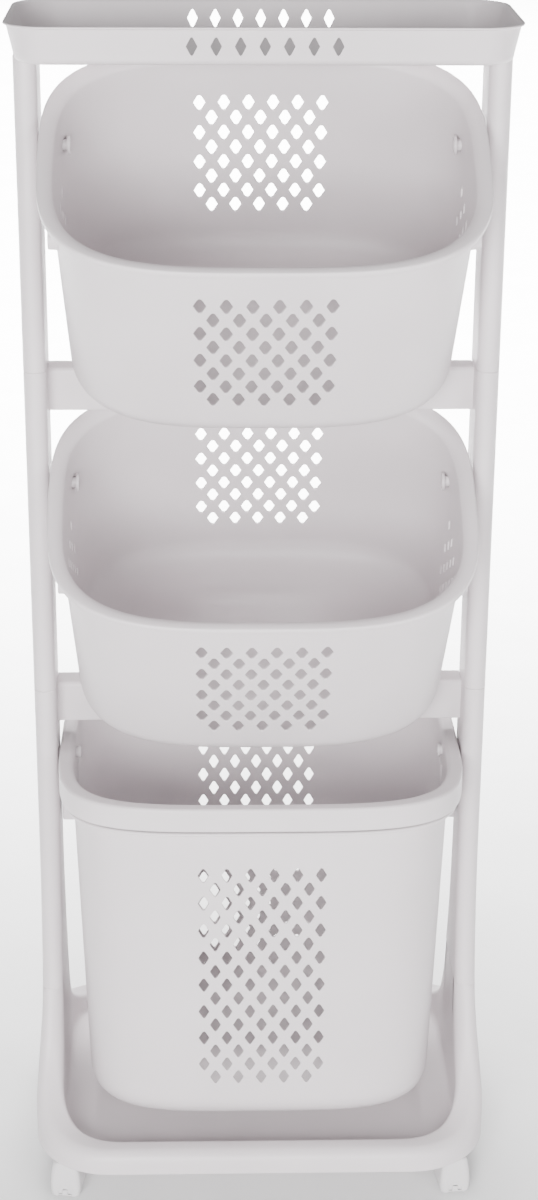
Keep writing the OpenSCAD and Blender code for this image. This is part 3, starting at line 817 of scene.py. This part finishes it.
class Rim:
    """The base's rim as a closed path, with inner and outer plan positions along it."""

    def __init__(self):
        quarter = []
        steep = 40 + 41 * np.linspace(0, 1, 22) ** 1.3
        for y in list(np.linspace(0, 32, 5)) + list(steep[:-1]):
            quarter.append(((BASE_A, y * (BASE_B - OUTER_R) / 81), (POST_FACE, y)))
        for t in np.linspace(0, math.pi / 2, 30):
            c, s = math.cos(t), math.sin(t)
            quarter.append(((BASE_A - OUTER_R + OUTER_R * c, BASE_B - OUTER_R + OUTER_R * s),
                            (POST_FACE - PAN_R + PAN_R * c, BASE_B - RIM_FRONT - PAN_R + PAN_R * s)))
        for u in np.linspace(1, 0, 12)[1:]:
            quarter.append((((BASE_A - OUTER_R) * u, BASE_B),
                            ((POST_FACE - PAN_R) * u, BASE_B - RIM_FRONT)))
        q = np.array(quarter)
        flip_x, flip_y = np.array([-1, 1]), np.array([1, -1])
        loop = np.concatenate([q[:-1], (q * flip_x)[::-1][:-1],
                               (q * -1)[:-1], (q * flip_y)[::-1][:-1]])
        self.outer, self.inner = loop[:, 0], loop[:, 1]
        middle = (self.outer + self.inner) / 2
        step = np.linalg.norm(np.roll(middle, -1, axis=0) - middle, axis=1)
        self.run = np.concatenate([[0], np.cumsum(step)])
        self.length = self.run[-1]
        y = np.abs(middle[:, 1])
        k = np.clip((SPREAD_REACH - y) / (SPREAD_REACH - POST_D / 2), 0, 1)
        sweep = BASE_TOP + (SPREAD_TOP - BASE_TOP) * (1 - np.sqrt(1 - k * k))
        self.crest = np.minimum(sweep, CREST_LIMIT)

    def _look(self, values, run):
        closed = np.concatenate([values, values[:1]])
        run = np.mod(run, self.length)
        if closed.ndim == 1:
            return np.interp(run, self.run, closed)
        return np.stack([np.interp(run, self.run, closed[:, k]) for k in range(closed.shape[1])], -1)

    def slope(self, crest):
        gap = (np.roll(self.run[:-1], -1) - np.roll(self.run[:-1], 1)) % self.length
        return (np.roll(crest, -1) - np.roll(crest, 1)) / gap

    def width(self, run, z):
        across = self._look(self.outer, run) - self._look(self.inner, run)
        thin = (BASE_TOP + THIN_RISE - z) / THIN_RISE
        return np.linalg.norm(across, axis=1) - (RIM_SIDE - POST_T) * (1 - smoothstep(thin))

    def at(self, run, lateral, z):
        """Points at a distance outwards from the inner wall."""
        inner, outer = self._look(self.inner, run), self._look(self.outer, run)
        across = outer - inner
        across /= np.linalg.norm(across, axis=1)[:, None]
        return np.column_stack([inner + across * lateral[:, None], z])

    def walls(self, low, crest, inset, rise_out, rise_in, foot_in, rows):
        """Rings from the foot of the outer face, over the crest, to the foot of the inner face."""
        run = self.run[:-1]
        slope = self.slope(crest)
        lean = np.sqrt(1 + slope ** 2)
        full = self.width(run, crest)
        over = []
        for k in range(9):
            t = math.pi / 2 * k / 8
            over.append((full - inset - rise_out * (1 - math.cos(t)),
                         rise_out * (1 - math.sin(t)) + inset))
        for k in range(7):
            t = math.pi / 2 * k / 6
            over.append((inset + rise_in * (1 - math.sin(t)), rise_in * (1 - math.cos(t)) + inset))
        rings = []
        for lateral, depth in over:
            here, z = run + depth * slope / lean, crest - depth / lean
            shift = self.width(here, z) / full
            rings.append((here, lateral * shift, z))
        first, last = rings[0], rings[-1]
        up = []
        for k in range(rows):
            f = k / rows
            here, z = run + (first[0] - run) * f, low + (first[2] - low) * f
            up.append((here, self.width(here, z) - inset, z))
        down = []
        for k in range(1, rows + 1):
            f = k / rows
            here, z = last[0] + (run - last[0]) * f, last[2] + (foot_in - last[2]) * f
            down.append((here, np.full(len(run), inset), z))
        return [self.at(*r) for r in up + rings + down]

    def level(self, inside, z):
        run = self.run[:-1]
        return self.at(run, np.full(len(run), float(-inside)), np.full(len(run), float(z)))


def trim_fins(bm):
    """Cuts the fins level at the lowest post joint and closes them with a small edge."""
    z = JOINT_Z[0] - JOINT_EDGE
    everything = bm.verts[:] + bm.edges[:] + bm.faces[:]
    cut = bmesh.ops.bisect_plane(bm, geom=everything, plane_co=(0, 0, z), plane_no=(0, 0, 1),
                                 clear_outer=True)
    rim = [e for e in cut["geom_cut"] if isinstance(e, bmesh.types.BMEdge)]
    shares = (1 - 0.25 / HALF_T, 1 - JOINT_EDGE / HALF_T, 1 - 1.3 / HALF_T)
    for share, rise in zip(shares, (0.45, 0.25, 0.0)):
        ring = bmesh.ops.extrude_edge_only(bm, edges=rim)["geom"]
        rim = [e for e in ring if isinstance(e, bmesh.types.BMEdge)]
        for v in (v for v in ring if isinstance(v, bmesh.types.BMVert)):
            middle = math.copysign(WALL_X, v.co.x)
            v.co.x = middle + (v.co.x - middle) * share
            v.co.y *= 1 - (1 - share) * HALF_T / 52
            v.co.z += rise
    bmesh.ops.edgenet_fill(bm, edges=rim)


def base_tray():
    rim = Rim()
    shape = Shape()
    high = smoothstep((rim.crest - 75) / 80)
    half = rim.width(rim.run[:-1], rim.crest) / 2 * 0.985
    rise_out, rise_in = 12 + (half - 12) * high, 4.5 + (half - 4.5) * high
    run = rim.run[:-1]
    flat = np.full(len(run), BASE_BOTTOM)
    full = rim.width(run, flat)
    edge = [rim.at(run, full - RIM_SKIN + 0.5, flat)]
    for k in range(4):
        t = math.pi / 2 * k / 4
        edge.append(rim.at(run, full - 1.8 * (1 - math.sin(t)), flat + 1.8 * (1 - math.cos(t))))
    top = rim.walls(BASE_BOTTOM + 1.8, rim.crest, 0.0, rise_out, rise_in, PAN_Z + 6.0, 16)
    floor = []
    for k in range(1, 8):
        t = math.pi / 2 * k / 7
        floor.append(rim.level(6 * (1 - math.cos(t)), PAN_Z + 6 * (1 - math.sin(t))))
    floor += [rim.level(inside, PAN_Z) for inside in (8, 16, 34, 58)]
    rings = shape.loft(edge + top + floor, cap_last=True)
    hollow = np.minimum(rim.crest, 120.0)
    small = np.full(len(run), 3.0)
    under = rim.walls(BASE_BOTTOM + 0.5, hollow, RIM_SKIN, small, small, PAN_Z - PAN_SKIN, 8)
    pan = [rim.level(inside, PAN_Z - PAN_SKIN) for inside in (0, 16, 34, 58)]
    hidden = shape.loft(under + pan, cap_last=True)
    shape.bridge(rings[0], hidden[0])
    for x in (-CASTER_X, CASTER_X):
        for y in (-CASTER_Y, CASTER_Y):
            boss = [(4.3, 43.3), (4.7, 43.0), (8.1, 43.0), (8.5, 43.4), (8.7, 64.5), (4.3, 64.5)]
            shape.closed([[(px + x, py + y, pz) for px, py, pz in ring] for ring in lathe(boss, 40)])
    obj = shape.build("base_tray_moulding", frame_mat, AT_POSTS, trim_fins)
    place(obj, "frame", "pale_plastic", "base_tray")


base_tray()

# ---- casters -----------------------------------------------------------------------------

WHEEL_R, WHEEL_HALF, RECESS_Y = 17.0, 6.0, 17.9


def prism(shape, outline, stations, along):
    """Sweeps a flat outline of (across, height) points along X or Y."""
    if along == "x":
        rings = [[(s, p, z) for p, z in outline] for s in stations]
    else:
        rings = [[(p, s, z) for p, z in outline] for s in stations]
    shape.loft(rings, cap_first=True, cap_last=True)


def arch_outline(half, springing, low):
    return [(-half, low)] + arc((0, springing), half, 180, 0, 24) + [(half, low)]


def cut_away(obj, cutters):
    for cutter in cutters:
        step = obj.modifiers.new("cut", "BOOLEAN")
        step.operation, step.object, step.solver = "DIFFERENCE", cutter, "EXACT"
    soften = obj.modifiers.new("soften", "BEVEL")
    soften.width, soften.segments = 0.0005, 2
    soften.limit_method, soften.angle_limit = "ANGLE", math.radians(50)
    graph = bpy.context.evaluated_depsgraph_get()
    mesh = bpy.data.meshes.new_from_object(obj.evaluated_get(graph))
    obj.modifiers.clear()
    obj.data = mesh
    for cutter in cutters:
        bpy.data.objects.remove(cutter)


def hood():
    """The moulded hood over a wheel, about the point under its axle; +Y is the trailing way."""
    levels = [(3.0, 12.4, 17.4), (3.3, 13.1, 18.1), (4.2, 13.9, 18.7), (6.5, 14.5, 19.0)]
    levels += [(10, 14.8, 19.1), (14, 15.0, 19.2), (19, 14.9, 19.15), (24, 14.5, 19.0)]
    levels += [(29, 13.9, 18.6), (33, 13.2, 18.2), (36.5, 12.6, 17.7), (39.2, 12.1, 17.2)]
    levels += [(40.4, 11.5, 16.6), (41.0, 10.4, 15.5)]
    shape = Shape()
    rings = [RoundBox(a, b, 5.0, 3, 6).ring(a, b, z) for z, a, b in levels]
    shape.loft(rings, cap_first=True, cap_last=True)
    body = shape.build("hood", hood_mat)
    room, arch = Shape(), Shape()
    side = WHEEL_HALF + 1.5
    prism(room, arc((0, WHEEL_R), WHEEL_R + 0.8, 0, 360, 48)[:-1], (-side, side), "x")
    prism(arch, arch_outline(6.5, 8.5, -4), (RECESS_Y, 30), "y")
    prism(arch, arch_outline(6.5, 8.5, -4), (-30, -RECESS_Y), "y")
    cut_away(body, [room.build("room", hood_mat), arch.build("arch", hood_mat)])
    return body


def caster(name, master):
    body = f"{name}_caster"
    axle, swivel = pivot(f"{name}_wheel_spin"), pivot(f"{name}_swivel")
    heading = math.atan2(*reversed(joints[f"{name}_wheel_spin"]["axis"][:2]))
    under = Matrix.Translation((axle[0], axle[1], 0)) @ Matrix.Rotation(heading, 4, "Z")
    at_axle = under @ Matrix.Translation((0, 0, WHEEL_R)) @ Matrix.Rotation(math.radians(90), 4, "Y")
    scale = Matrix.Scale(MM, 4)
    mesh = master.data.copy()
    mesh.transform(scale @ under @ scale.inverted())
    shell = bpy.data.objects.new(f"{body}_hood", mesh)
    bpy.context.scene.collection.objects.link(shell)
    place(shell, body, "caster_plastic", f"{body}_housing")
    lugs = Shape()
    for near, far in ((17.0, 18.8), (-18.8, -17.0)):
        rounded_block(lugs, -6.7, 6.7, near, far, 4.2, 6.2, 0.7)
        rounded_block(lugs, -2.9, 2.9, near, far + 0.4, 5.6, 11.2, 0.8)
    place(lugs.build(f"{body}_lugs", hood_mat, under), body, "caster_plastic")
    side = [(2.2, 6.0), (4.6, 6.0), (5.0, 5.6), (5.3, 4.2), (5.8, 3.7), (11.0, 3.6), (11.8, 4.2)]
    side += [(12.2, 5.6), (12.7, 6.0), (15.2, 6.0), (16.3, 5.6), (16.9, 4.8), (17.0, 3.8)]
    wheel = Shape()
    wheel.closed(lathe(side + [(r, -h) for r, h in reversed(side)], 72))
    place(wheel.build(f"{body}_wheel_turned", wheel_mat, at_axle), f"{name}_wheel", "wheel_plastic",
          f"{body}_wheel")
    pin = Shape()
    pin.loft(lathe([(0, -12.3), (1.7, -12.3), (2.0, -12.0), (2.0, 12.0), (1.7, 12.3), (0, 12.3)], 32))
    place(pin.build(f"{body}_axle_turned", steel_mat, at_axle), body, "zinc_steel", f"{body}_axle")
    stem = Shape()
    stem.loft(lathe([(0, 36), (3.4, 36), (4.0, 36.6), (4.0, 40.9), (6.5, 41.0), (6.9, 41.3),
                     (6.9, 42.5), (6.5, 42.8), (4.0, 42.9), (4.0, 51.6), (4.06, 52.0),
                     (4.06, 53.2), (4.0, 53.6), (4.0, 57.4), (3.3, 59.4), (2.8, 60.0),
                     (0, 60.0)], 48))
    lift = Matrix.Translation((swivel[0], swivel[1], 0))
    place(stem.build(f"{body}_stem_turned", steel_mat, lift), body, "zinc_steel", f"{body}_stem")


pattern = hood()
for corner in ("front_left", "front_right", "rear_left", "rear_right"):
    caster(corner, pattern)
bpy.data.objects.remove(pattern)
